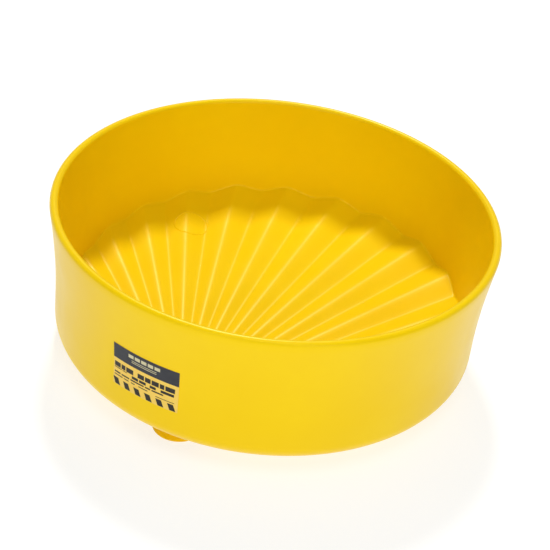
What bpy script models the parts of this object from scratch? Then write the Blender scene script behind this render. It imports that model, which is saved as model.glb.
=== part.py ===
"""Drum funnel: a wide, shallow, twin-skinned pan that drains through an off-centre spout.

Units are metres and +Z is up. The origin is where the spout's axis meets the flat base, which is
where the funnel seats on a drum's bung. The pan's own axis stands at +Y from there.
"""

import math

import bmesh
import bpy
from mathutils import Matrix, Vector

# ---------------------------------------------------------------- driving dimensions
RIM_RADIUS = 0.2635          # outside of the rim
HEIGHT = 0.172               # base to the top of the rim
LIP_THICKNESS = 0.0101       # the rim is a full round of this thickness
WALL_RADIUS = 0.2538         # outside of the straight part of the wall
CORNER_RADIUS = 0.020        # round between base and wall
FLARE_START = 0.053          # height where the outer wall begins to open
FLARE_POWER = 1.75
SKIN = 0.003                 # thickness of each moulded skin
INNER_WALL_RADIUS = 0.2374   # inside of the bowl at INNER_WALL_HEIGHT
INNER_WALL_HEIGHT = 0.0527

DRAIN_OFFSET = 0.1955        # pan axis to spout axis
FLUTES = 39                  # flutes in the full turn round the spout
FLUTE_PHASE = math.radians(93.1)
FLOOR_APEX = 0.0105          # height where all flutes would meet on the spout's axis
CREST_SLOPE = 0.103          # rise of a flute's crest per metre from the spout
VALLEY_SLOPE = 0.084
SAMPLES = 4                  # points across one flute
FLUTE_START = 0.02           # where the flutes begin, inside the well

WELL_RADIUS = 0.038          # recess that holds the spout's flange
WELL_FLOOR = 0.009
POCKET_RADIUS = 0.038        # recess in the base that holds the lock nut
POCKET_DEPTH = 0.006
HOLE_RADIUS = 0.0305
CAVITY_HEADROOM = 0.012      # solid material between the air space and the rim's centre
GAP = 0.0003                 # clearance between touching pieces

SPOUT_RADIUS = 0.03015       # two-inch pipe thread, at the base
SPOUT_TIP_RADIUS = 0.0295
SPOUT_BORE = 0.0246
SPOUT_TIP = -0.0272
SPOUT_CHAMFER = 0.0015
FLANGE_RADIUS = 0.0365
FLANGE_THICKNESS = 0.004
FLANGE_CHAMFER = 0.001
GASKET_THICKNESS = 0.0012
STRAINER_SEAT_RADIUS = 0.029
STRAINER_SEAT_DEPTH = 0.003
STRAINER_RING_RADIUS = 0.0286
STRAINER_RING_THICKNESS = 0.0022
CUP_RADIUS = 0.0229          # outside of the gauze cup
CUP_WALL = 0.0008
CUP_BOTTOM = -0.018
CUP_CORNER = 0.004
LOOP_WIRE = 0.0012           # radius of the lift loop's wire
LOOP_FOOT = 0.0258           # half its span
LOOP_RISE = 0.021
NUT_RADIUS = 0.0366
NUT_NOTCH = 0.0016
SLIP_WASHER_RADIUS = 0.0362
SLIP_WASHER_THICKNESS = 0.0008
BUNG_GASKET_RADIUS = 0.0358
BUNG_GASKET_BOTTOM = -0.0027

VENT_RADIUS = 0.005          # moulding vent in the base, on the pan's axis
PLUG_HEAD_RADIUS = 0.008
PLUG_HEAD_THICKNESS = 0.0012
PLUG_BARB = 0.0004           # how far the barb stands past the vent's edge
PLUG_REACH = 0.0028          # how far the plug stands past the skin inside
PLUG_CORE = 0.003            # radius of its hollow
LABEL_CENTRE = math.radians(-93.2)   # direction of the label from the pan's axis
LABEL_ANGLE = math.radians(19.5)
LABEL_LOW = 0.0445
LABEL_HIGH = 0.1010
LABEL_THICKNESS = 0.0004

LIP_HALF = LIP_THICKNESS / 2
LIP_CENTRE_RADIUS = RIM_RADIUS - LIP_HALF
LIP_CENTRE_HEIGHT = HEIGHT - LIP_HALF
INNER_TOP_RADIUS = RIM_RADIUS - LIP_THICKNESS
PAN_AXIS = Vector((0.0, DRAIN_OFFSET, 0.0))
FLANGE_BOTTOM = WELL_FLOOR + GASKET_THICKNESS + 2 * GAP
FLANGE_TOP = FLANGE_BOTTOM + FLANGE_THICKNESS
SEAT_FLOOR = FLANGE_TOP - STRAINER_SEAT_DEPTH
STRAINER_RING_BOTTOM = SEAT_FLOOR + GAP
STRAINER_RING_TOP = STRAINER_RING_BOTTOM + STRAINER_RING_THICKNESS
WASHER_TOP = POCKET_DEPTH - GAP
NUT_TOP = WASHER_TOP - SLIP_WASHER_THICKNESS - GAP
NUT_BOTTOM = GAP


# ---------------------------------------------------------------- helpers
def clear_scene():
    for item in list(bpy.data.objects):
        bpy.data.objects.remove(item, do_unlink=True)


def material(name, colour, roughness, metallic=0.0):
    made = bpy.data.materials.new(name)
    made.use_nodes = True
    shader = made.node_tree.nodes["Principled BSDF"]
    shader.inputs["Base Color"].default_value = (*colour, 1.0)
    shader.inputs["Roughness"].default_value = roughness
    shader.inputs["Metallic"].default_value = metallic
    return made


def add_object(name, mesh_data, finish=None):
    """Put a bmesh into the scene as a named object with its normals pointing out."""
    bmesh.ops.recalc_face_normals(mesh_data, faces=mesh_data.faces[:])
    mesh = bpy.data.meshes.new(name)
    mesh_data.to_mesh(mesh)
    mesh_data.free()
    mesh.shade_smooth()
    mesh.set_sharp_from_angle(angle=math.radians(35))
    item = bpy.data.objects.new(name, mesh)
    bpy.context.collection.objects.link(item)
    if finish:
        mesh.materials.append(finish)
    return item


def bridge(mesh_data, lower, upper):
    """Join two closed rings of the same number of vertices with quads."""
    count = len(lower)
    for i in range(count):
        j = (i + 1) % count
        mesh_data.faces.new((lower[i], lower[j], upper[j], upper[i]))


def fan(mesh_data, ring, tip):
    """Close a ring with triangles to one vertex."""
    count = len(ring)
    for i in range(count):
        mesh_data.faces.new((ring[i], ring[(i + 1) % count], tip))


def loft(rings, start_tip, end_tip):
    """Closed solid through rings of points, with a point closing each end."""
    mesh_data = bmesh.new()
    loops = [[mesh_data.verts.new(point) for point in ring] for ring in rings]
    for lower, upper in zip(loops, loops[1:]):
        bridge(mesh_data, lower, upper)
    fan(mesh_data, loops[0], mesh_data.verts.new(start_tip))
    fan(mesh_data, loops[-1], mesh_data.verts.new(end_tip))
    return mesh_data


def turned(name, outline, finish, segments=48):
    """Solid of revolution about the spout's axis, from a closed outline of (radius, height)."""
    mesh_data = bmesh.new()
    loops = []
    for radius, height in outline:
        ring = []
        for i in range(segments):
            angle = math.tau * i / segments
            point = (radius * math.cos(angle), radius * math.sin(angle), height)
            ring.append(mesh_data.verts.new(point))
        loops.append(ring)
    for i, loop in enumerate(loops):
        bridge(mesh_data, loop, loops[(i + 1) % len(loops)])
    return add_object(name, mesh_data, finish)


def capped(name, outline, centre, finish, segments):
    """Solid of revolution about a vertical axis, whose open outline is closed on that axis."""
    rings = [
        [centre + Vector((
            radius * math.cos(math.tau * i / segments),
            radius * math.sin(math.tau * i / segments),
            height)) for i in range(segments)]
        for radius, height in outline]
    start_tip = centre + Vector((0.0, 0.0, outline[0][1]))
    end_tip = centre + Vector((0.0, 0.0, outline[-1][1]))
    return add_object(name, loft(rings, start_tip, end_tip), finish)


def cutter(name, radius, low, high, centre=(0.0, 0.0), segments=64):
    """Hidden cylinder that a Boolean removes."""
    mesh_data = bmesh.new()
    place = Matrix.Translation((centre[0], centre[1], (low + high) / 2))
    bmesh.ops.create_cone(
        mesh_data, cap_ends=True, segments=segments, radius1=radius, radius2=radius,
        depth=high - low, matrix=place)
    return hide(add_object(name, mesh_data))


def hide(item):
    item.hide_render = True
    item.display_type = "WIRE"
    return item


def subtract(item, tool):
    cut = item.modifiers.new("cut_" + tool.name, "BOOLEAN")
    cut.operation = "DIFFERENCE"
    cut.object = tool


# ---------------------------------------------------------------- the pan's surfaces
def outer_radius(height, inset=0.0):
    """Radius of the outer wall at a height, or of a surface inset from it."""
    if height < CORNER_RADIUS:
        arm = CORNER_RADIUS - inset
        rise = min(CORNER_RADIUS - height, arm)
        return WALL_RADIUS - CORNER_RADIUS + math.sqrt(arm ** 2 - rise ** 2)
    flare = max(0.0, height - FLARE_START) / (LIP_CENTRE_HEIGHT - FLARE_START)
    return WALL_RADIUS + (RIM_RADIUS - WALL_RADIUS) * flare ** FLARE_POWER - inset


def inner_radius(height):
    """Radius of the bowl's wall, which narrows evenly towards the floor."""
    draft = (INNER_TOP_RADIUS - INNER_WALL_RADIUS) / (LIP_CENTRE_HEIGHT - INNER_WALL_HEIGHT)
    return INNER_WALL_RADIUS + draft * (height - INNER_WALL_HEIGHT)


def floor_slope(step):
    """Slope of the fluted floor along one of the straight lines from the spout's axis."""
    across = (step % SAMPLES) / SAMPLES
    drop = 1.0 - abs(1.0 - 2.0 * across)
    return CREST_SLOPE + (VALLEY_SLOPE - CREST_SLOPE) * drop


def floor_point(step, distance, lower=0.0):
    angle = FLUTE_PHASE + math.tau * step / (FLUTES * SAMPLES)
    height = FLOOR_APEX + floor_slope(step) * distance - lower
    return Vector((distance * math.cos(angle), distance * math.sin(angle), height))


def wall_distance(step, skin):
    """Distance from the spout's axis at which the floor meets the bowl's wall."""
    low, high = FLUTE_START, RIM_RADIUS + DRAIN_OFFSET
    for _ in range(40):
        middle = (low + high) / 2
        point = floor_point(step, middle, skin)
        reach = (Vector((point.x, point.y, 0.0)) - PAN_AXIS).length
        if reach < inner_radius(point.z) + skin:
            low = middle
        else:
            high = middle
    return low


def ring_at(azimuths, radius, height):
    return [
        PAN_AXIS + Vector((radius * math.cos(a), radius * math.sin(a), height))
        for a in azimuths]


def pan_rings(skin):
    """Rings of the floor and its edge, and the azimuths of that edge about the pan's axis."""
    steps = range(FLUTES * SAMPLES)
    near_drain = [floor_point(step, FLUTE_START, skin) for step in steps]
    edge = [floor_point(step, wall_distance(step, skin), skin) for step in steps]
    azimuths = [math.atan2(p.y - PAN_AXIS.y, p.x - PAN_AXIS.x) for p in edge]
    return near_drain, edge, azimuths


def wall_heights(top, inset, steps):
    """Heights of the outer wall's rings, from the top down round the corner to the base."""
    flared = [top + (FLARE_START - top) * i / steps for i in range(steps + 1)]
    arm = CORNER_RADIUS - inset
    corner = [
        CORNER_RADIUS - arm * math.sin(math.pi / 2 * i / steps)
        for i in range(steps + 1)]
    return flared + corner


# ---------------------------------------------------------------- sub-parts
def make_body(finish):
    near_drain, edge, azimuths = pan_rings(0.0)
    rings = [near_drain, edge]
    lip_steps = 6
    for i in range(lip_steps + 1):
        turn = math.pi * (1.0 - i / lip_steps)
        radius = LIP_CENTRE_RADIUS + LIP_HALF * math.cos(turn)
        rings.append(ring_at(azimuths, radius, LIP_CENTRE_HEIGHT + LIP_HALF * math.sin(turn)))
    for height in wall_heights(LIP_CENTRE_HEIGHT, 0.0, 5)[1:]:
        rings.append(ring_at(azimuths, outer_radius(height), height))
    body = add_object(
        "funnel_body", loft(rings, (0.0, 0.0, FLOOR_APEX), PAN_AXIS), finish)

    subtract(body, make_cavity())
    subtract(body, cutter("well_cut", WELL_RADIUS, WELL_FLOOR, 0.06))
    subtract(body, cutter("pocket_cut", POCKET_RADIUS, -0.01, POCKET_DEPTH))
    subtract(body, cutter("drain_cut", HOLE_RADIUS, -0.01, 0.03))
    subtract(body, cutter("vent_cut", VENT_RADIUS, -0.01, SKIN + 0.002, PAN_AXIS[:2], 24))
    return body


def make_cavity():
    """Air space between the skins, which stops short of the drain's recesses."""
    near_drain, edge, azimuths = pan_rings(SKIN)
    cavity_top = LIP_CENTRE_HEIGHT - CAVITY_HEADROOM
    inner_top = inner_radius(cavity_top) + SKIN
    rings = [near_drain, edge, ring_at(azimuths, inner_top, cavity_top)]
    for height in wall_heights(cavity_top, SKIN, 3):
        rings.append(ring_at(azimuths, outer_radius(height, SKIN), height))
    start_tip = (0.0, 0.0, FLOOR_APEX - SKIN)
    end_tip = PAN_AXIS + Vector((0.0, 0.0, SKIN))
    cavity = hide(add_object("cavity_cut", loft(rings, start_tip, end_tip)))
    subtract(cavity, cutter("drain_surround", POCKET_RADIUS + SKIN, -0.01, 0.08))
    return cavity


def make_spout(finish):
    outline = [
        (SPOUT_BORE, SPOUT_TIP),
        (SPOUT_TIP_RADIUS - SPOUT_CHAMFER, SPOUT_TIP),
        (SPOUT_TIP_RADIUS, SPOUT_TIP + SPOUT_CHAMFER),
        (SPOUT_RADIUS, 0.0),
        (SPOUT_RADIUS, FLANGE_BOTTOM),
        (FLANGE_RADIUS, FLANGE_BOTTOM),
        (FLANGE_RADIUS, FLANGE_TOP - FLANGE_CHAMFER),
        (FLANGE_RADIUS - FLANGE_CHAMFER, FLANGE_TOP),
        (STRAINER_SEAT_RADIUS, FLANGE_TOP),
        (STRAINER_SEAT_RADIUS, SEAT_FLOOR),
        (SPOUT_BORE, SEAT_FLOOR),
    ]
    return turned("spout", outline, finish)


def washer(name, inner, outer, low, high, finish, segments=48):
    outline = [(inner, low), (outer, low), (outer, high), (inner, high)]
    return turned(name, outline, finish, segments)


def make_seals(rubber, plastic):
    """Flange gasket in the well, slip washer under the base, and the gasket for the bung."""
    inner = SPOUT_RADIUS + GAP
    gasket_low = WELL_FLOOR + GAP
    washer("spout_gasket", inner, FLANGE_RADIUS, gasket_low, gasket_low + GASKET_THICKNESS, rubber)
    washer_bottom = WASHER_TOP - SLIP_WASHER_THICKNESS
    washer("slip_washer", inner, SLIP_WASHER_RADIUS, washer_bottom, WASHER_TOP, plastic)
    washer("bung_gasket", inner, BUNG_GASKET_RADIUS, BUNG_GASKET_BOTTOM, NUT_BOTTOM - GAP, rubber)


def make_lock_nut(finish):
    """Ring nut with eight grip lobes for a spanner."""
    lobes = 8
    per_lobe = 6
    mesh_data = bmesh.new()
    loops = []
    for radial, height in ((0, NUT_BOTTOM), (1, NUT_BOTTOM), (1, NUT_TOP), (0, NUT_TOP)):
        ring = []
        for i in range(lobes * per_lobe):
            angle = math.tau * i / (lobes * per_lobe)
            notch = NUT_NOTCH if i % per_lobe < 2 else 0.0
            radius = NUT_RADIUS - notch if radial else SPOUT_RADIUS + GAP
            point = (radius * math.cos(angle), radius * math.sin(angle), height)
            ring.append(mesh_data.verts.new(point))
        loops.append(ring)
    for i, loop in enumerate(loops):
        bridge(mesh_data, loop, loops[(i + 1) % 4])
    return add_object("lock_nut", mesh_data, finish)


def make_strainer(metal, gauze):
    """Lift-out strainer: a flat ring on the spout's seat, a gauze cup below, a wire loop above."""
    washer(
        "strainer_ring", CUP_RADIUS + GAP, STRAINER_RING_RADIUS,
        STRAINER_RING_BOTTOM, STRAINER_RING_TOP, metal)

    cup_top = STRAINER_RING_TOP - GAP
    outline = [
        (CUP_RADIUS - CUP_CORNER, CUP_BOTTOM),
        (CUP_RADIUS, CUP_BOTTOM + CUP_CORNER),
        (CUP_RADIUS, cup_top),
        (CUP_RADIUS - CUP_WALL, cup_top),
        (CUP_RADIUS - CUP_WALL, CUP_BOTTOM + CUP_CORNER),
        (CUP_RADIUS - CUP_CORNER, CUP_BOTTOM + CUP_WALL),
    ]
    capped("strainer_cup", outline, Vector(), gauze, 40)

    points = 17
    curve = bpy.data.curves.new("strainer_loop", "CURVE")
    curve.dimensions = "3D"
    curve.bevel_depth = LOOP_WIRE
    curve.bevel_resolution = 2
    curve.use_fill_caps = True
    spline = curve.splines.new("POLY")
    spline.points.add(points - 1)
    for i in range(points):
        turn = math.pi * i / (points - 1)
        height = STRAINER_RING_TOP + GAP + LOOP_RISE * math.sin(turn)
        spline.points[i].co = (LOOP_FOOT * math.cos(turn), 0.0, height, 1.0)
    loop = bpy.data.objects.new("strainer_loop", curve)
    bpy.context.collection.objects.link(loop)
    curve.materials.append(metal)


def make_vent_plug(finish):
    """Push-in plug that closes the moulding's vent, with a head outside and a barb inside."""
    shaft = VENT_RADIUS - GAP
    head_bottom = -GAP - PLUG_HEAD_THICKNESS
    plug_top = SKIN + PLUG_REACH
    centre_ring = 0.001
    outline = [
        (centre_ring, head_bottom),
        (PLUG_HEAD_RADIUS, head_bottom),
        (PLUG_HEAD_RADIUS, -GAP),
        (shaft, -GAP),
        (shaft, SKIN + GAP),
        (VENT_RADIUS + PLUG_BARB, SKIN + GAP),
        (shaft - PLUG_BARB, plug_top),
        (PLUG_CORE, plug_top),
        (PLUG_CORE, PLUG_HEAD_THICKNESS),
        (centre_ring, PLUG_HEAD_THICKNESS),
    ]
    return capped("vent_plug", outline, PAN_AXIS, finish, 24)


def make_label(finish):
    """Thin sheet that lies on the outer wall and follows its flare."""
    columns = 12
    rows = 5
    mesh_data = bmesh.new()
    sheets = []
    for lift in (GAP, GAP + LABEL_THICKNESS):
        grid = []
        for row in range(rows + 1):
            height = LABEL_LOW + (LABEL_HIGH - LABEL_LOW) * row / rows
            radius = outer_radius(height) + lift
            azimuths = [
                LABEL_CENTRE + LABEL_ANGLE * (column / columns - 0.5)
                for column in range(columns + 1)]
            grid.append([mesh_data.verts.new(p) for p in ring_at(azimuths, radius, height)])
        for low, high in zip(grid, grid[1:]):
            for i in range(columns):
                mesh_data.faces.new((low[i], low[i + 1], high[i + 1], high[i]))
        sheets.append(grid)
    borders = [sheet_border(grid) for grid in sheets]
    bridge(mesh_data, borders[0], borders[1])
    return add_object("label", mesh_data, finish)


def sheet_border(grid):
    """Vertices round the edge of a grid, in order."""
    right = [row[-1] for row in grid]
    left = [row[0] for row in grid]
    return grid[0] + right[1:-1] + grid[-1][::-1] + left[-2:0:-1]


def main():
    clear_scene()
    yellow = material("yellow_polyethylene", (0.92, 0.60, 0.01), 0.42)
    fitting = material("yellow_fitting", (0.90, 0.57, 0.01), 0.38)
    black_nylon = material("black_nylon", (0.03, 0.03, 0.03), 0.5)
    rubber = material("black_rubber", (0.02, 0.02, 0.02), 0.8)
    steel = material("stainless_steel", (0.62, 0.61, 0.58), 0.3, 1.0)
    gauze = material("steel_gauze", (0.55, 0.54, 0.50), 0.45, 1.0)
    paper = material("label_film", (0.90, 0.72, 0.25), 0.4)
    make_body(yellow)
    make_spout(fitting)
    make_seals(rubber, black_nylon)
    make_lock_nut(black_nylon)
    make_strainer(steel, gauze)
    make_vent_plug(black_nylon)
    make_label(paper)


main()
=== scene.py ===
"""Looks for the drum funnel: fluted pan, threaded spout, gauze strainer, seals and sticker."""

import math

import bmesh
import bpy
from mathutils import Matrix, Vector


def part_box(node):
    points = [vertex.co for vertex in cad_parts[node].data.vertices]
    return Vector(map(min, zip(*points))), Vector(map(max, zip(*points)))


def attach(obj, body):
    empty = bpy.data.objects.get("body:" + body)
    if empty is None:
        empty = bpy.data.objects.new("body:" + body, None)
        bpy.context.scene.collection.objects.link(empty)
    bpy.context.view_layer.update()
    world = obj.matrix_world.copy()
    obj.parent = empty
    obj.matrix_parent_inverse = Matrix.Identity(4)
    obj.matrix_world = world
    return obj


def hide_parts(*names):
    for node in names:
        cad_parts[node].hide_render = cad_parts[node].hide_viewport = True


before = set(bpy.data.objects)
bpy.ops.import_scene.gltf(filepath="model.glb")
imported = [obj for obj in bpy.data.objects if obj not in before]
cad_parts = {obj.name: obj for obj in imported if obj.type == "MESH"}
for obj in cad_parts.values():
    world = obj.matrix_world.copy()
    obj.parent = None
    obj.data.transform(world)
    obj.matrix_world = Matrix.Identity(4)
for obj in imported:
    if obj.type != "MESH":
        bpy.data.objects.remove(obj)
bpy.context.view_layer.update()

# ---------------------------------------------------------------- sizes shared with the design
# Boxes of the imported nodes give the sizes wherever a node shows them.
BODY_LOW, BODY_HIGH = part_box("funnel_body")
SPOUT_LOW, SPOUT_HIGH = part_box("spout")
PLUG_LOW, PLUG_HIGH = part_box("vent_plug")
RING_LOW, RING_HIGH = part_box("strainer_ring")
CUP_LOW, CUP_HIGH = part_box("strainer_cup")
LABEL_LOW, LABEL_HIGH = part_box("label")

PAN_AXIS = Vector(((PLUG_LOW.x + PLUG_HIGH.x) / 2, (PLUG_LOW.y + PLUG_HIGH.y) / 2, 0.0))
HEIGHT = BODY_HIGH.z
RIM_RADIUS = min(BODY_HIGH.x, -BODY_LOW.x) - 0.00002
LIP_THICKNESS = 0.0101
LIP_HALF = LIP_THICKNESS / 2
LIP_CENTRE_RADIUS = RIM_RADIUS - LIP_HALF
LIP_CENTRE_HEIGHT = HEIGHT - LIP_HALF
INNER_TOP_RADIUS = RIM_RADIUS - LIP_THICKNESS
WALL_RADIUS = 0.2538
CORNER_RADIUS = 0.020
FLARE_START = 0.053
FLARE_POWER = 1.75
INNER_WALL_RADIUS = 0.2374
INNER_WALL_HEIGHT = 0.0527

FLUTES = 39
FLUTE_PHASE = math.radians(93.1)
FLOOR_APEX = 0.0105
CREST_SLOPE = 0.103
VALLEY_SLOPE = 0.084
CREST_ROUND = 0.0045
VALLEY_ROUND = 0.0025
ACROSS_FLUTE = (0.0, 0.02, 0.045, 0.075, 0.115, 0.17, 0.25, 0.36, 0.5, 0.66, 0.8, 0.9, 0.96)
FLOOR_STEPS = 7
WALL_FILLET = 0.0022
WELL_ROUNDS = (0.0008, 0.0012)
POCKET_ROUNDS = (0.0008, 0.0006, 0.0004)
LIP_STEPS = 14
FLARE_STEPS = 12
CORNER_STEPS = 12

WELL_RADIUS = 0.038
WELL_FLOOR = 0.009
POCKET_RADIUS = 0.038
POCKET_DEPTH = 0.006
HOLE_RADIUS = 0.0305
SPOUT_RADIUS = 0.03015
GAP = 0.0003

WITNESS_AZIMUTH = math.radians(152.6)
WITNESS_DISTANCE = 0.1774
WITNESS_RADIUS = 0.0215
WITNESS_WIRE = 0.0011

VIEW_AZIMUTH = math.radians(24.7)
VIEW_ELEVATION = math.radians(34.54)
VIEW_ROLL = math.radians(7.31)
VIEW_DISTANCE = 1.747
VIEW_ASIDE = 0.0036
VIEW_BELOW = 0.0806
LENS = 98.2


# ---------------------------------------------------------------- small helpers
def new_object(name, mesh, finish, body="funnel", sharp=35):
    mesh.shade_smooth()
    mesh.set_sharp_from_angle(angle=math.radians(sharp))
    item = bpy.data.objects.new(name, mesh)
    bpy.context.collection.objects.link(item)
    mesh.materials.append(finish)
    if body:
        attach(item, body)
    return item


def finish_mesh(name, work):
    bmesh.ops.remove_doubles(work, verts=work.verts[:], dist=1e-6)
    bmesh.ops.recalc_face_normals(work, faces=work.faces[:])
    mesh = bpy.data.meshes.new(name)
    work.to_mesh(mesh)
    work.free()
    return mesh


def sheet_of(work, rows, wrap_rows=False, wrap_columns=True):
    """Quads through a table of points."""
    grid = [[work.verts.new(p) for p in row] for row in rows]
    count = len(grid[0])
    spans = list(zip(grid, grid[1:]))
    if wrap_rows:
        spans.append((grid[-1], grid[0]))
    for low, high in spans:
        for i in range(count if wrap_columns else count - 1):
            j = (i + 1) % count
            work.faces.new((low[i], low[j], high[j], high[i]))
    return grid


def turned(name, outline, finish, body="funnel", centre=Vector(), segments=128):
    """Solid of revolution about a vertical axis, from a closed outline of (radius, height)."""
    work = bmesh.new()
    rows = [
        [centre + Vector((r * math.cos(a), r * math.sin(a), z))
         for a in (math.tau * i / segments for i in range(segments))]
        for r, z in outline]
    sheet_of(work, rows, wrap_rows=True)
    return new_object(name, finish_mesh(name, work), finish, body, sharp=30)


def rounded(points, reaches, steps):
    """Replace each inner corner of a path by a curve that starts and ends a reach from it."""
    path = [points[0]]
    for before, corner, after, reach in zip(points, points[1:], points[2:], reaches):
        if not reach:
            path.append(corner)
            continue
        back, ahead = before - corner, after - corner
        start = corner + back * min(0.48, reach / max(back.length, 1e-9))
        end = corner + ahead * min(0.48, reach / max(ahead.length, 1e-9))
        for i in range(steps + 1):
            t = i / steps
            path.append(start * (1 - t) ** 2 + corner * 2 * t * (1 - t) + end * t ** 2)
    path.append(points[-1])
    return path


def rounded_outline(outline, reach, steps=3):
    """Round every corner of a closed outline of (radius, height)."""
    points = [Vector((r, z, 0.0)) for r, z in outline]
    closed = [points[-1]] + points + [points[0]]
    path = rounded(closed, [reach] * len(points), steps)[1:-1]
    return [(p.x, p.y) for p in path]


# ---------------------------------------------------------------- materials
class Nodes:
    """Short way to write a material's nodes."""

    def __init__(self, name):
        self.material = bpy.data.materials.new(name)
        self.material.use_nodes = True
        self.tree = self.material.node_tree
        self.shader = self.tree.nodes["Principled BSDF"]
        self.place = self.tree.nodes.new("ShaderNodeTexCoord")

    def add(self, kind, inputs=None, **settings):
        node = self.tree.nodes.new(kind)
        for key, value in settings.items():
            setattr(node, key, value)
        for key, value in (inputs or {}).items():
            self.put(node.inputs[key], value)
        return node

    def put(self, socket, value):
        if hasattr(value, "is_output"):
            self.tree.links.new(value, socket)
        else:
            socket.default_value = value

    def noise(self, scale, detail=2.0):
        return self.add(
            "ShaderNodeTexNoise",
            {"Vector": self.place.outputs["Object"], "Scale": scale,
             "Detail": detail}).outputs["Fac"]

    def ramp(self, source, low, high, from_low=0.35, from_high=0.65):
        """Map a noise value onto low to high, held at both ends."""
        return self.add(
            "ShaderNodeMapRange",
            {"Value": source, "From Min": from_low, "From Max": from_high, "To Min": low,
             "To Max": high}).outputs["Result"]

    def mix(self, factor, first, second):
        node = self.add("ShaderNodeMix", data_type="RGBA")
        for index, value in ((0, factor), (6, first), (7, second)):
            self.put(node.inputs[index], value)
        return node.outputs[2]

    def bump(self, height, strength, distance):
        return self.add(
            "ShaderNodeBump",
            {"Height": height, "Strength": strength, "Distance": distance}).outputs["Normal"]

    def set(self, **values):
        for key, value in values.items():
            self.put(self.shader.inputs[key.replace("_", " ")], value)
        return self.material


def polyethylene(name, colour, deeper, roughness):
    """Moulded satin polyethylene: faint flow mottling, soft orange peel and uneven gloss."""
    n = Nodes(name)
    mottle = n.ramp(n.noise(9.0, 3.0), 0.0, 1.0)
    fine = n.ramp(n.noise(60.0, 2.0), 0.0, 0.35)
    tone = n.mix(mottle, (*colour, 1), (*deeper, 1))
    tone = n.mix(fine, tone, (*deeper, 1))
    gloss = n.ramp(n.noise(28.0, 3.0), roughness - 0.01, roughness + 0.04)
    peel = n.bump(n.noise(55.0, 1.0), 0.05, 0.0008)
    return n.set(
        Base_Color=tone, Roughness=gloss, Normal=peel, Specular_IOR_Level=0.32,
        Specular_Tint=(1.0, 0.85, 0.30, 1))


def rubber(name):
    n = Nodes(name)
    speck = n.ramp(n.noise(900.0, 3.0), 0.0, 1.0)
    tone = n.mix(speck, (0.018, 0.018, 0.019, 1), (0.034, 0.033, 0.032, 1))
    grain = n.bump(n.noise(1800.0, 2.0), 0.25, 0.0002)
    return n.set(Base_Color=tone, Roughness=n.ramp(speck, 0.62, 0.78, 0, 1), Normal=grain)


def nylon(name):
    n = Nodes(name)
    speck = n.ramp(n.noise(350.0, 3.0), 0.0, 1.0)
    tone = n.mix(speck, (0.022, 0.022, 0.025, 1), (0.034, 0.034, 0.037, 1))
    grain = n.bump(n.noise(900.0, 2.0), 0.15, 0.0002)
    return n.set(Base_Color=tone, Roughness=n.ramp(speck, 0.38, 0.5, 0, 1), Normal=grain)


def steel(name, roughness, tint):
    """Stainless steel with fine turning marks round the strainer's axis."""
    n = Nodes(name)
    stretched = n.add(
        "ShaderNodeMapping",
        {"Vector": n.place.outputs["Object"], "Scale": (60.0, 60.0, 2500.0)})
    marks = n.add(
        "ShaderNodeTexNoise",
        {"Vector": stretched.outputs["Vector"], "Scale": 1.0, "Detail": 3.0}).outputs["Fac"]
    tone = n.mix(n.ramp(marks, 0, 1), (*tint, 1), tuple(c * 0.86 for c in tint) + (1,))
    gloss = n.ramp(marks, roughness - 0.06, roughness + 0.08)
    return n.set(
        Base_Color=tone, Metallic=1.0, Roughness=gloss, Normal=n.bump(marks, 0.12, 0.0001))


def film(name, colour, wear, roughness=0.32):
    """Printed sticker film, slightly uneven in tone."""
    n = Nodes(name)
    tone = n.mix(n.ramp(n.noise(120.0, 3.0), 0.0, 1.0), (*colour, 1), (*wear, 1))
    gloss = n.ramp(n.noise(300.0, 2.0), roughness, roughness + 0.08)
    return n.set(
        Base_Color=tone, Roughness=gloss, Normal=n.bump(n.noise(300.0), 0.04, 0.0001),
        Specular_IOR_Level=0.25)


# ---------------------------------------------------------------- the pan
def outer_radius(height):
    if height < CORNER_RADIUS:
        drop = CORNER_RADIUS - height
        return WALL_RADIUS - CORNER_RADIUS + math.sqrt(max(CORNER_RADIUS ** 2 - drop ** 2, 0))
    flare = max(0.0, height - FLARE_START) / (LIP_CENTRE_HEIGHT - FLARE_START)
    return WALL_RADIUS + (RIM_RADIUS - WALL_RADIUS) * flare ** FLARE_POWER


def inner_radius(height):
    draft = (INNER_TOP_RADIUS - INNER_WALL_RADIUS) / (LIP_CENTRE_HEIGHT - INNER_WALL_HEIGHT)
    return INNER_WALL_RADIUS + draft * (height - INNER_WALL_HEIGHT)


def flute_drop(across, distance):
    """0 on a flute's crest and 1 in its valley, with both edges softly rounded."""
    half_pitch = distance * math.pi / FLUTES
    crest = min(CREST_ROUND / half_pitch, 0.5)
    valley = min(VALLEY_ROUND / half_pitch, 0.3)
    offset = math.hypot(1.0, valley) - crest
    span = math.hypot(1.0, crest) - valley - 1.0 + offset
    fall = math.hypot(across, crest) - math.hypot(1.0 - across, valley) - across + offset
    return fall / span


def floor_height(angle, distance):
    turn = ((angle - FLUTE_PHASE) / math.tau * FLUTES) % 1.0
    across = 1.0 - abs(1.0 - 2.0 * turn)
    drop = flute_drop(across, distance)
    return FLOOR_APEX + (CREST_SLOPE + (VALLEY_SLOPE - CREST_SLOPE) * drop) * distance


def on_spoke(angle, distance, height):
    return Vector((distance * math.cos(angle), distance * math.sin(angle), height))


def on_pan(azimuth, radius, height):
    return PAN_AXIS + Vector((radius * math.cos(azimuth), radius * math.sin(azimuth), height))


def reach(point):
    return math.hypot(point.x - PAN_AXIS.x, point.y - PAN_AXIS.y)


def halve(inside, low, high):
    """Where a test that starts true turns false."""
    for _ in range(40):
        middle = (low + high) / 2
        low, high = (middle, high) if inside(middle) else (low, middle)
    return low


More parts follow.
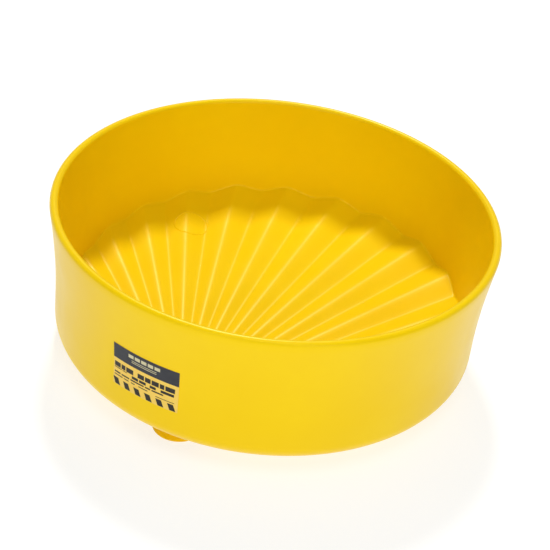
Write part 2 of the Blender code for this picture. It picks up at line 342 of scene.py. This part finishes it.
def spoke_path(angle):
    """Closed path round the pan's section along one line from the spout's axis."""
    def at_floor(distance):
        return on_spoke(angle, distance, floor_height(angle, distance))

    edge = halve(
        lambda d: reach(at_floor(d)) < inner_radius(at_floor(d).z), 0.02, RIM_RADIUS * 2)
    between = []
    if edge > WELL_RADIUS:
        well_top, corner = at_floor(WELL_RADIUS), at_floor(edge)
        for i in range(1, FLOOR_STEPS):
            between.append(at_floor(WELL_RADIUS * (edge / WELL_RADIUS) ** (i / FLOOR_STEPS)))
    else:
        top = halve(
            lambda z: reach(on_spoke(angle, WELL_RADIUS, z)) > inner_radius(z),
            WELL_FLOOR, HEIGHT)
        well_top = corner = on_spoke(angle, WELL_RADIUS, top)
        between = [corner] * (FLOOR_STEPS - 1)
    azimuth = math.atan2(corner.y - PAN_AXIS.y, corner.x - PAN_AXIS.x)
    inside = [
        on_spoke(angle, HOLE_RADIUS, WELL_FLOOR),
        on_spoke(angle, WELL_RADIUS, WELL_FLOOR),
        well_top,
        *between,
        corner,
        on_pan(azimuth, INNER_TOP_RADIUS, LIP_CENTRE_HEIGHT),
    ]
    path = rounded(inside, (*WELL_ROUNDS, *[0.0] * len(between), WALL_FILLET), 4)
    for i in range(1, LIP_STEPS + 1):
        turn = math.pi * (1.0 - i / LIP_STEPS)
        path.append(on_pan(
            azimuth, LIP_CENTRE_RADIUS + LIP_HALF * math.cos(turn),
            LIP_CENTRE_HEIGHT + LIP_HALF * math.sin(turn)))
    for i in range(1, FLARE_STEPS + 1):
        height = LIP_CENTRE_HEIGHT + (FLARE_START - LIP_CENTRE_HEIGHT) * i / FLARE_STEPS
        path.append(on_pan(azimuth, outer_radius(height), height))
    for i in range(CORNER_STEPS + 1):
        height = CORNER_RADIUS * (1.0 - math.sin(math.pi / 2 * i / CORNER_STEPS))
        path.append(on_pan(azimuth, outer_radius(height), height))
    underside = [
        path[-1],
        on_spoke(angle, POCKET_RADIUS, 0.0),
        on_spoke(angle, POCKET_RADIUS, POCKET_DEPTH),
        on_spoke(angle, HOLE_RADIUS, POCKET_DEPTH),
        on_spoke(angle, HOLE_RADIUS, WELL_FLOOR),
    ]
    path += rounded(underside, POCKET_ROUNDS, 3)[1:-1]
    return path


def make_pan(finish):
    pitch = math.tau / FLUTES
    turns = [t / 2 for t in ACROSS_FLUTE] + [1.0 - t / 2 for t in (1.0, *ACROSS_FLUTE[:0:-1])]
    angles = [FLUTE_PHASE + pitch * (k + t) for k in range(FLUTES) for t in turns]
    paths = [spoke_path(angle) for angle in angles]
    work = bmesh.new()
    sheet_of(work, list(zip(*paths)), wrap_rows=True)
    bmesh.ops.remove_doubles(work, verts=work.verts[:], dist=2e-6)
    bmesh.ops.dissolve_degenerate(work, edges=work.edges[:], dist=1e-7)
    pan = new_object("pan", finish_mesh("pan", work), finish, sharp=50)
    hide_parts("funnel_body")


def make_witness_ring(finish):
    """Line that a round mould insert left on the fluted floor."""
    centre = on_pan(WITNESS_AZIMUTH, WITNESS_DISTANCE, 0.0)
    wire = WITNESS_WIRE
    segments, sides = 160, 8
    work = bmesh.new()
    rows = []
    for i in range(segments):
        a = math.tau * i / segments
        row = []
        for j in range(sides):
            b = math.tau * j / sides
            r = WITNESS_RADIUS + wire * math.cos(b)
            x, y = centre.x + r * math.cos(a), centre.y + r * math.sin(a)
            level = floor_height(math.atan2(y, x), math.hypot(x, y))
            row.append(Vector((x, y, level - 0.5 * wire + wire * math.sin(b))))
        rows.append(row)
    sheet_of(work, rows, wrap_rows=True)
    ring = new_object("mould_witness_ring", finish_mesh("mould_witness_ring", work), finish)


# ---------------------------------------------------------------- spout, seals and nut
def make_spout(finish):
    """Flanged nipple with a taper pipe thread, cut as a helix into its outside."""
    pitch, depth = 0.00221, 0.0011
    bore = 0.0246
    flange_bottom, flange_top = SPOUT_HIGH.z - 0.004, SPOUT_HIGH.z
    seat_floor = flange_top - 0.003
    flange_radius, seat_radius = (SPOUT_HIGH.x - SPOUT_LOW.x) / 2, 0.029
    base_radius, tip_radius = SPOUT_RADIUS, 0.0295
    tip = SPOUT_LOW.z
    thread_low, thread_high = tip + 0.0012, -0.0032

    def outside(height, turn):
        taper = (height - tip) / (0.0 - tip)
        crest = tip_radius + (base_radius - tip_radius) * min(max(taper, 0), 1)
        phase = (height / pitch - turn) % 1.0
        wave = abs(phase - 0.5) * 2.0
        cut = min(max((0.82 - wave) / 0.64, 0.0), 1.0)
        fade = min(max((thread_high - height) / 0.003, 0), 1)
        fade *= min(max((height - thread_low) / 0.002, 0), 1)
        return crest - depth * cut * fade

    segments = 180
    heights = [tip + (0.0 - tip) * i / 190 for i in range(191)]
    heights = [h for h in heights if h > tip + 0.0008]
    fixed_low = [(bore, tip + 0.001), (bore + 0.0007, tip), (tip_radius - 0.0012, tip)]
    fixed_high = [
        (base_radius, flange_bottom - 0.0004), (base_radius + 0.0003, flange_bottom),
        (flange_radius - 0.0004, flange_bottom), (flange_radius, flange_bottom + 0.0004),
        (flange_radius, flange_top - 0.001), (flange_radius - 0.0003, flange_top - 0.0003),
        (flange_radius - 0.001, flange_top), (seat_radius + 0.0004, flange_top),
        (seat_radius, flange_top - 0.0004), (seat_radius, seat_floor),
        (bore + 0.0004, seat_floor), (bore, seat_floor - 0.0004)]
    work = bmesh.new()
    rows = []
    turns = [i / segments for i in range(segments)]

    def ring(radius_at, height):
        return [Vector((radius_at(t) * math.cos(math.tau * t),
                        radius_at(t) * math.sin(math.tau * t), height)) for t in turns]

    for radius, height in fixed_low:
        rows.append(ring(lambda t: radius, height))
    for height in heights:
        rows.append(ring(lambda t: outside(height, t), height))
    for radius, height in fixed_high:
        rows.append(ring(lambda t: radius, height))
    sheet_of(work, rows, wrap_rows=True)
    spout = new_object("threaded_spout", finish_mesh("threaded_spout", work), finish, sharp=40)
    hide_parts("spout")


def soft_washer(name, node, finish, reach_in=0.0003):
    low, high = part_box(node)
    outer = (high.x - low.x) / 2
    inner = SPOUT_RADIUS + GAP
    outline = [(inner, low.z), (outer, low.z), (outer, high.z), (inner, high.z)]
    piece = turned(name, rounded_outline(outline, reach_in), finish)
    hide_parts(node)


def make_lock_nut(finish):
    """Ring nut with eight lobes, each with softened shoulders."""
    low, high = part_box("lock_nut")
    outer, inner = max(high.x, high.y), SPOUT_RADIUS + GAP
    lobes, segments = 8, 320
    bevel = 0.0004
    levels = [
        (0, low.z + bevel), (1, low.z), (2, low.z), (3, low.z + bevel),
        (3, high.z - bevel), (2, high.z), (1, high.z), (0, high.z - bevel)]
    rows = []
    for kind, height in levels:
        row = []
        for i in range(segments):
            turn = i / segments
            phase = (turn * lobes) % 1.0
            notch = 0.5 + 0.5 * math.cos(math.tau * phase)
            rim = outer - 0.0018 * min(max((notch - 0.55) / 0.3, 0.0), 1.0)
            radius = (inner, inner + bevel, rim - bevel, rim)[kind]
            row.append(Vector((
                radius * math.cos(math.tau * turn), radius * math.sin(math.tau * turn), height)))
        rows.append(row)
    work = bmesh.new()
    sheet_of(work, rows, wrap_rows=True)
    nut = new_object("ring_nut", finish_mesh("ring_nut", work), finish)
    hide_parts("lock_nut")


def make_vent_plug(finish):
    low, high = PLUG_LOW, PLUG_HIGH
    shaft = 0.0047
    head = (high.x - low.x) / 2
    outline = [
        (0.0004, low.z + 0.0003), (0.0030, low.z + 0.0003), (0.0034, low.z),
        (head - 0.0006, low.z), (head - 0.0001, low.z + 0.0004), (head, low.z + 0.0008),
        (head - 0.0003, -GAP), (shaft, -GAP), (shaft, 0.0033), (0.0054, 0.0034),
        (0.0053, 0.0040), (shaft - 0.0006, high.z), (0.0030, high.z), (0.0028, 0.0014),
        (0.0004, 0.0012)]
    plug = turned("vent_plug_turned", outline, finish, centre=PAN_AXIS, segments=64)
    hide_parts("vent_plug")


# ---------------------------------------------------------------- strainer
CUP_RADIUS = (CUP_HIGH.x - CUP_LOW.x) / 2
MESH_RADIUS = CUP_RADIUS - 0.0005
MESH_WIRE = 0.0004
WEAVE = 0.00012
CELL = 0.0013


def as_wires(item):
    """Turn every edge of a grid into a wire."""
    wires = item.modifiers.new("wires", "WIREFRAME")
    wires.thickness = MESH_WIRE
    wires.use_even_offset = False
    return wires


def make_strainer_rim(metal):
    inner, outer = 0.0232, (RING_HIGH.x - RING_LOW.x) / 2
    outline = [
        (inner, RING_LOW.z), (outer, RING_LOW.z), (outer, RING_HIGH.z), (inner, RING_HIGH.z)]
    ring = turned("strainer_rim", rounded_outline(outline, 0.0006), metal, "strainer")
    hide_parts("strainer_ring")


def make_gauze_side(gauze):
    """Woven wall of the cup: a grid whose crossings go over and under."""
    columns = 112
    low, high = CUP_LOW.z + 0.0006, CUP_HIGH.z - 0.0006
    count = int((high - low) / CELL)
    rows = []
    for j in range(count + 1):
        height = low + (high - low) * j / count
        rows.append([
            Vector((r * math.cos(a), r * math.sin(a), height))
            for a, r in (
                (math.tau * i / columns, MESH_RADIUS + WEAVE * (-1) ** (i + j))
                for i in range(columns))])
    work = bmesh.new()
    sheet_of(work, rows)
    side = new_object("gauze_side", finish_mesh("gauze_side", work), gauze, "strainer", sharp=60)
    as_wires(side).use_boundary = True
    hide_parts("strainer_cup")


def make_gauze_bottom(gauze):
    work = bmesh.new()
    limit = MESH_RADIUS - 0.0006
    half = int(limit / CELL) + 1
    verts = {}
    for i in range(-half, half + 1):
        for j in range(-half, half + 1):
            x, y = i * CELL, j * CELL
            z = CUP_LOW.z + 0.0005 + WEAVE * (-1) ** (i + j)
            verts[i, j] = work.verts.new((x, y, z))
    for i in range(-half, half):
        for j in range(-half, half):
            corners = [verts[i, j], verts[i + 1, j], verts[i + 1, j + 1], verts[i, j + 1]]
            if all(math.hypot(v.co.x, v.co.y) < limit for v in corners):
                work.faces.new(corners)
    loose = [v for v in work.verts if not v.link_faces]
    bmesh.ops.delete(work, geom=loose, context="VERTS")
    bottom = new_object("gauze_bottom", finish_mesh("gauze_bottom", work), gauze, "strainer")
    as_wires(bottom)


def make_hems(metal):
    for name, level, tall in (
            ("gauze_bottom_hem", CUP_LOW.z + 0.0001, 0.0030),
            ("gauze_top_hem", CUP_HIGH.z - 0.0042, 0.0040)):
        outline = [
            (MESH_RADIUS - 0.0012, level), (CUP_RADIUS - 0.0001, level),
            (CUP_RADIUS - 0.0001, level + tall), (MESH_RADIUS - 0.0012, level + tall)]
        hem = turned(name, rounded_outline(outline, 0.0003), metal, "strainer")


def make_loop(metal):
    """Lifting loop, with a weld where each foot stands on the rim."""
    foot, rise, wire = 0.0258, 0.021, 0.0012
    points, sides = 48, 16
    rows = []
    base = RING_HIGH.z
    for k in range(points + 1):
        turn = math.pi * k / points
        centre = Vector((foot * math.cos(turn), 0.0, base + GAP + rise * math.sin(turn)))
        out = Vector((math.cos(turn) * rise, 0.0, math.sin(turn) * foot)).normalized()
        if k in (0, points):
            out = Vector((math.copysign(1.0, math.cos(turn)), 0.0, 0.0))
        rows.append([
            centre + wire * (out * math.cos(b) + Vector((0, 1, 0)) * math.sin(b))
            for b in (math.tau * s / sides for s in range(sides))])
    work = bmesh.new()
    grid = sheet_of(work, rows)
    work.faces.new(grid[0])
    work.faces.new(grid[-1])
    loop = new_object("lift_loop", finish_mesh("lift_loop", work), metal, "strainer", sharp=50)
    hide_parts("strainer_loop")
    for side_sign in (-1, 1):
        outline = [
            (0.0001, base + 0.0001), (0.0022, base + 0.0001), (0.0021, base + 0.0009),
            (0.0015, base + 0.0013), (0.0001, base + 0.0013)]
        foot_pad = turned(
            "loop_weld_left" if side_sign < 0 else "loop_weld_right", outline, metal,
            "strainer", centre=Vector((side_sign * foot, 0, 0)), segments=32)


# ---------------------------------------------------------------- sticker
LABEL_CENTRE = math.radians(-93.2)
LABEL_WIDE = math.radians(19.5)
LABEL_TALL = LABEL_HIGH.z - LABEL_LOW.z
BAND_BOTTOM = 0.645


def on_wall(u, v, lift):
    """Point on the outer wall from the sticker's own 0 to 1 coordinates."""
    height = LABEL_LOW.z + LABEL_TALL * v
    return on_pan(LABEL_CENTRE + LABEL_WIDE * (u - 0.5), outer_radius(height) + lift, height)


def patch(work, u0, v0, u1, v1, lift, thick, slant=0.0, columns=12, rows=4):
    """Thin closed plate on the wall; slant shifts its bottom edge sideways."""
    sheets = []
    for rise in (lift, lift + thick):
        grid = []
        for j in range(rows + 1):
            v = v0 + (v1 - v0) * j / rows
            shift = slant * (1.0 - j / rows)
            grid.append([
                work.verts.new(on_wall(u0 + (u1 - u0) * i / columns + shift, v, rise))
                for i in range(columns + 1)])
        for low, high in zip(grid, grid[1:]):
            for i in range(columns):
                work.faces.new((low[i], low[i + 1], high[i + 1], high[i]))
        sheets.append(grid)
    borders = []
    for grid in sheets:
        right = [row[-1] for row in grid]
        left = [row[0] for row in grid]
        borders.append(grid[0] + right[1:-1] + grid[-1][::-1] + left[-2:0:-1])
    count = len(borders[0])
    for i in range(count):
        j = (i + 1) % count
        work.faces.new((borders[0][i], borders[0][j], borders[1][j], borders[1][i]))


def make_label(field, band, ink, pale):
    base_lift, base_thick = 0.0002, 0.00025
    print_lift, print_thick = base_lift + base_thick, 0.00004
    work = bmesh.new()
    patch(work, 0.0, 0.0, 1.0, 1.0, base_lift, base_thick, columns=40, rows=24)
    sticker = new_object("sticker_film", finish_mesh("sticker_film", work), field)
    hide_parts("label")

    work = bmesh.new()
    patch(work, 0.0, BAND_BOTTOM, 1.0, 1.0, print_lift, print_thick, columns=40, rows=10)
    header = new_object("sticker_band", finish_mesh("sticker_band", work), band)

    work = bmesh.new()
    over_band = print_lift + print_thick
    for k in range(5):
        left = 0.25 + 0.10 * k
        patch(work, left, 0.84, left + 0.08, 0.92, over_band, print_thick)
    for v in (0.78, 0.74):
        patch(work, 0.30, v, 0.68, v + 0.014, over_band, print_thick)
    band_bars = new_object("sticker_band_bars", finish_mesh("sticker_band_bars", work), pale)

    work = bmesh.new()
    rows = (
        (0.44, 0.115, ((0.02, 0.12), (0.135, 0.20), (0.215, 0.33), (0.40, 0.50), (0.515, 0.60),
                       (0.615, 0.72), (0.735, 0.80), (0.815, 0.95))),
        (0.405, 0.018, ((0.02, 0.14), (0.155, 0.23))),
        (0.345, 0.065, ((0.31, 0.41), (0.425, 0.53), (0.59, 0.68), (0.75, 0.94))),
        (0.285, 0.035, ((0.02, 0.12), (0.14, 0.27), (0.29, 0.50), (0.52, 0.60), (0.62, 0.79))),
        (0.225, 0.022, ((0.02, 0.16), (0.18, 0.26), (0.30, 0.36), (0.42, 0.56))),
        (0.195, 0.014, ((0.68, 0.95),)),
    )
    for low, tall, spans in rows:
        for left, right in spans:
            patch(work, left, low, right, low + tall, print_lift, print_thick, columns=4, rows=2)
    for k in range(6):
        left = k * 0.170
        patch(work, left, 0.01, left + 0.085, 0.16, print_lift, print_thick,
              slant=0.04, columns=6, rows=3)
    printed = new_object("sticker_print", finish_mesh("sticker_print", work), ink)


# ---------------------------------------------------------------- stage
FLOOR_GLOW = 0.70
SKY = 0.30
# Each light's name, azimuth from the camera's right and elevation in degrees, distance, width,
# height and power.
LIGHTS = (
    ("key_behind", 99, 57.5, 6.0, 0.7, 1.1, 225),
    ("right_fill", -64, 20, 4.0, 1.6, 1.2, 26),
    ("left_fill", -112, 20, 4.0, 1.6, 1.2, 20.8),
    ("top_fill", -80, 62, 4.0, 1.6, 1.6, 30),
)


def stage_floor():
    n = Nodes("studio_floor")
    tone = n.mix(n.ramp(n.noise(3.0), 0, 1), (0.36, 0.37, 0.38, 1), (0.38, 0.39, 0.40, 1))
    finish = n.set(
        Base_Color=tone, Roughness=0.9, Emission_Color=(1, 1, 1, 1), Emission_Strength=FLOOR_GLOW)
    work = bmesh.new()
    bmesh.ops.create_grid(work, x_segments=1, y_segments=1, size=8.0)
    floor = new_object("floor", finish_mesh("floor", work), finish, body=None)
    floor.location = (PAN_AXIS.x, PAN_AXIS.y, SPOUT_LOW.z - 0.0005)


def softbox(name, azimuth, elevation, distance, wide, tall, power):
    """Area light aimed at the pan; its azimuth and elevation are those it shines from."""
    a, e = math.radians(azimuth) + VIEW_AZIMUTH, math.radians(elevation)
    aim = PAN_AXIS + Vector((0, 0, HEIGHT / 2))
    way = Vector((math.cos(a) * math.cos(e), math.sin(a) * math.cos(e), math.sin(e)))
    data = bpy.data.lights.new(name, "AREA")
    data.shape = "RECTANGLE"
    data.size, data.size_y = wide, tall
    data.energy = power
    lamp = bpy.data.objects.new(name, data)
    lamp.location = aim + way * distance
    lamp.rotation_mode = "QUATERNION"
    lamp.rotation_quaternion = way.to_track_quat("Z", "Y")
    bpy.context.collection.objects.link(lamp)


def light_studio():
    world = bpy.data.worlds.new("studio")
    bpy.context.scene.world = world
    world.use_nodes = True
    sky = world.node_tree.nodes["Background"]
    sky.inputs["Color"].default_value = (1, 1, 1, 1)
    sky.inputs["Strength"].default_value = SKY
    for light in LIGHTS:
        softbox(*light)


def place_camera():
    along = math.pi / 2 + VIEW_AZIMUTH
    forward = Vector((
        math.cos(along) * math.cos(VIEW_ELEVATION), math.sin(along) * math.cos(VIEW_ELEVATION),
        -math.sin(VIEW_ELEVATION)))
    level = Vector((math.cos(VIEW_AZIMUTH), math.sin(VIEW_AZIMUTH), 0.0))
    upright = level.cross(forward)
    right = level * math.cos(VIEW_ROLL) + upright * math.sin(VIEW_ROLL)
    up = upright * math.cos(VIEW_ROLL) - level * math.sin(VIEW_ROLL)
    aim = PAN_AXIS + Vector((0, 0, HEIGHT)) - right * VIEW_ASIDE - up * VIEW_BELOW
    data = bpy.data.cameras.new("camera")
    data.sensor_width = 36.0
    data.lens = LENS
    data.clip_start, data.clip_end = 0.05, 50.0
    camera = bpy.data.objects.new("camera", data)
    turn = Matrix((right, up, -forward)).transposed().to_4x4()
    camera.matrix_world = Matrix.Translation(aim - forward * VIEW_DISTANCE) @ turn
    bpy.context.collection.objects.link(camera)
    bpy.context.scene.camera = camera


def main():
    bpy.context.scene.view_settings.view_transform = "Standard"
    place_camera()
    light_studio()
    stage_floor()
    yellow = polyethylene("yellow_polyethylene", (0.93, 0.635, 0.001), (0.91, 0.605, 0.001), 0.30)
    fitting = polyethylene("yellow_fitting", (0.91, 0.58, 0.001), (0.89, 0.55, 0.001), 0.32)
    seal = rubber("nitrile_rubber")
    black = nylon("black_nylon")
    metal = steel("stainless_steel", 0.28, (0.66, 0.65, 0.62))
    gauze = steel("steel_gauze", 0.34, (0.60, 0.59, 0.56))
    make_pan(yellow)
    make_witness_ring(yellow)
    make_spout(fitting)
    soft_washer("flange_seal", "spout_gasket", seal)
    soft_washer("thin_washer", "slip_washer", black, 0.0002)
    soft_washer("bung_seal", "bung_gasket", seal, 0.0005)
    make_lock_nut(black)
    make_vent_plug(black)
    make_strainer_rim(metal)
    make_gauze_side(gauze)
    make_gauze_bottom(gauze)
    make_hems(metal)
    make_loop(metal)
    make_label(
        film("sticker_yellow", (0.90, 0.62, 0.11), (0.87, 0.58, 0.09)),
        film("sticker_charcoal", (0.026, 0.028, 0.036), (0.034, 0.036, 0.044)),
        film("sticker_ink", (0.016, 0.013, 0.009), (0.026, 0.021, 0.015)),
        film("sticker_pale", (0.66, 0.60, 0.36), (0.60, 0.55, 0.33)))


main()
